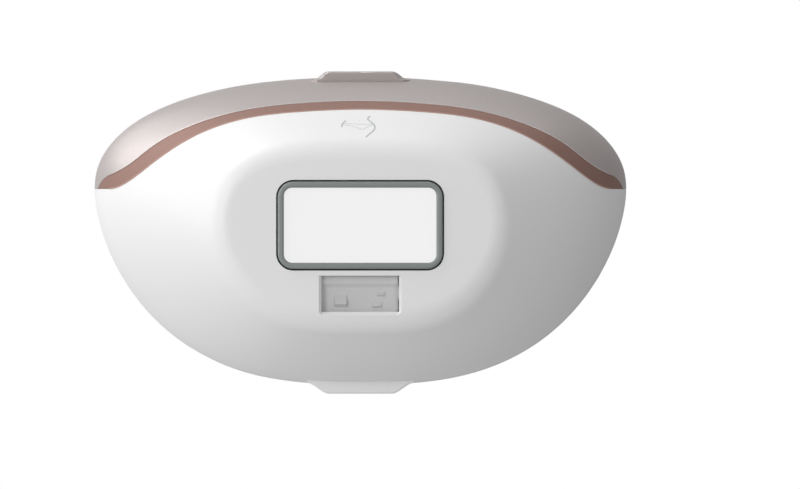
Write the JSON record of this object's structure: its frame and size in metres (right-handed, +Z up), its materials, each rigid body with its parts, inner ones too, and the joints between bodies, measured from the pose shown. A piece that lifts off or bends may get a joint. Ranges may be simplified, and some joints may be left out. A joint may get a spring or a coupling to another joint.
{
  "type": "ipl hair remover",
  "caption": "Handheld light-based hair remover: oval treatment head with a rectangular window in a metal ring, a skin sensor pocket, a slim handle with buttons and an underside flash trigger.",
  "frame": {"origin": "middle of the light window, on the plane of the metal ring that touches the skin", "axes": "+Y from the skin into the device along the handle, +Z up through the control panel, +X to the right seen from the skin side; the device rests on the lower grip and the tail foot"},
  "size_m": [0.0854, 0.1814, 0.0517],
  "materials": {
    "white_shell": "satin",
    "champagne": "satin metallic paint",
    "copper_trim": "satin metallic paint",
    "ring_metal": "satin",
    "window_glass": "clear",
    "dark_rubber": "matt",
    "mirror_metal": "polished",
    "grey_plastic": "matt",
    "dark_plastic": "matt",
    "screw_steel": "zinc plated",
    "spring_steel": "bright",
    "gold_contact": "polished",
    "white_pom": "matt",
    "sensor_lens": "gloss",
    "lamp_metal": "bright",
    "ceramic": "matt",
    "heat_sink_metal": "as extruded",
    "fan_plastic": "matt",
    "copper_winding": "enamelled",
    "board_green": "solder mask",
    "tape_yellow": "taped",
    "component_mix": "matt",
    "capacitor_sleeve": "shrink sleeve",
    "light_guide": "clear",
    "wire_red": "matt",
    "wire_black": "matt",
    "panel_gloss": "gloss"
  },
  "bodies": {
    "handset": {"dock_frame": "dark_plastic", "contact_pins": "gold_contact", "latch_springs": "spring_steel", "dock_screws": "screw_steel", "contact_switches": "dark_plastic", "sensor_pod": "grey_plastic", "skin_sensor": "sensor_lens", "lamp_window": "window_glass", "main_reflector": "mirror_metal", "lamp_tube": "window_glass", "lamp_electrodes": "lamp_metal", "lamp_holders": "ceramic", "heat_sink": "heat_sink_metal", "lamp_frame": "dark_plastic", "fan_frame": "dark_plastic", "fan_motor": "copper_winding", "inner_chassis": "grey_plastic", "power_board": "board_green", "charge_transformer": "tape_yellow", "trigger_coil": "dark_plastic", "board_components": "component_mix", "capacitor": "capacitor_sleeve", "control_board": "board_green", "board_screws": "screw_steel", "button_switches": "dark_plastic", "indicator_lights": "light_guide", "power_socket": "dark_plastic", "lamp_wires": "wire_red", "power_wires": "wire_black", "side_band": "copper_trim", "body_upper": "champagne", "body_lower": "white_shell", "tail_foot": "dark_rubber", "tail_cap": "white_shell", "shell_screws": "screw_steel", "control_panel": "panel_gloss", "trigger_spring": "spring_steel", "trigger_switch": "dark_plastic"},
    "attachment": {"attachment_shell": "white_shell", "attachment_top_cover": "champagne", "attachment_trim": "copper_trim", "window_filter": "window_glass", "window_seal": "dark_rubber", "attachment_reflector": "mirror_metal", "attachment_chassis": "grey_plastic", "attachment_screws": "screw_steel", "ring_springs": "spring_steel", "attachment_contacts": "gold_contact"},
    "ring": {"safety_ring": "ring_metal"},
    "plungers": {"switch_plungers": "white_pom"},
    "trigger": {"flash_trigger": "champagne"},
    "trigger_pin": {"trigger_switch_pin": "white_pom"},
    "power_key": {"power_button": "champagne"},
    "confirm_key": {"confirm_button": "champagne"},
    "fan": {"fan_rotor": "fan_plastic"}
  },
  "joints": [
    {"name": "attachment_pull", "type": "slide", "parent": "handset", "child": "attachment", "axis": [0, -1, 0], "range_m": [0, 0.03]},
    {"name": "safety_ring_press", "type": "slide", "parent": "attachment", "child": "ring", "axis": [0, 1, 0], "range_m": [0, 0.0006], "deforming": ["ring_springs"]},
    {"name": "switch_plunger_press", "type": "slide", "parent": "handset", "child": "plungers", "axis": [0, 1, 0], "range_m": [0, 0.0006]},
    {"name": "flash_trigger_press", "type": "slide", "parent": "handset", "child": "trigger", "axis": [0, 0, 1], "range_m": [0, 0.0012], "deforming": ["trigger_spring"]},
    {"name": "trigger_pin_press", "type": "slide", "parent": "handset", "child": "trigger_pin", "axis": [0, 0, 1], "range_m": [0, 0.0012]},
    {"name": "power_button_press", "type": "slide", "parent": "handset", "child": "power_key", "axis": [0, 0, -1], "range_m": [0, 0.0005]},
    {"name": "confirm_button_press", "type": "slide", "parent": "handset", "child": "confirm_key", "axis": [0, 0, -1], "range_m": [0, 0.0005]},
    {"name": "fan_spin", "type": "hinge", "parent": "handset", "child": "fan", "pos_m": [0, 0.055, -0.0005], "axis": [0, 1, 0], "continuous": true}
  ],
  "couplings": [
    {"joint": "switch_plunger_press", "follows": "safety_ring_press", "ratio": 1},
    {"joint": "trigger_pin_press", "follows": "flash_trigger_press", "ratio": 1}
  ]
}
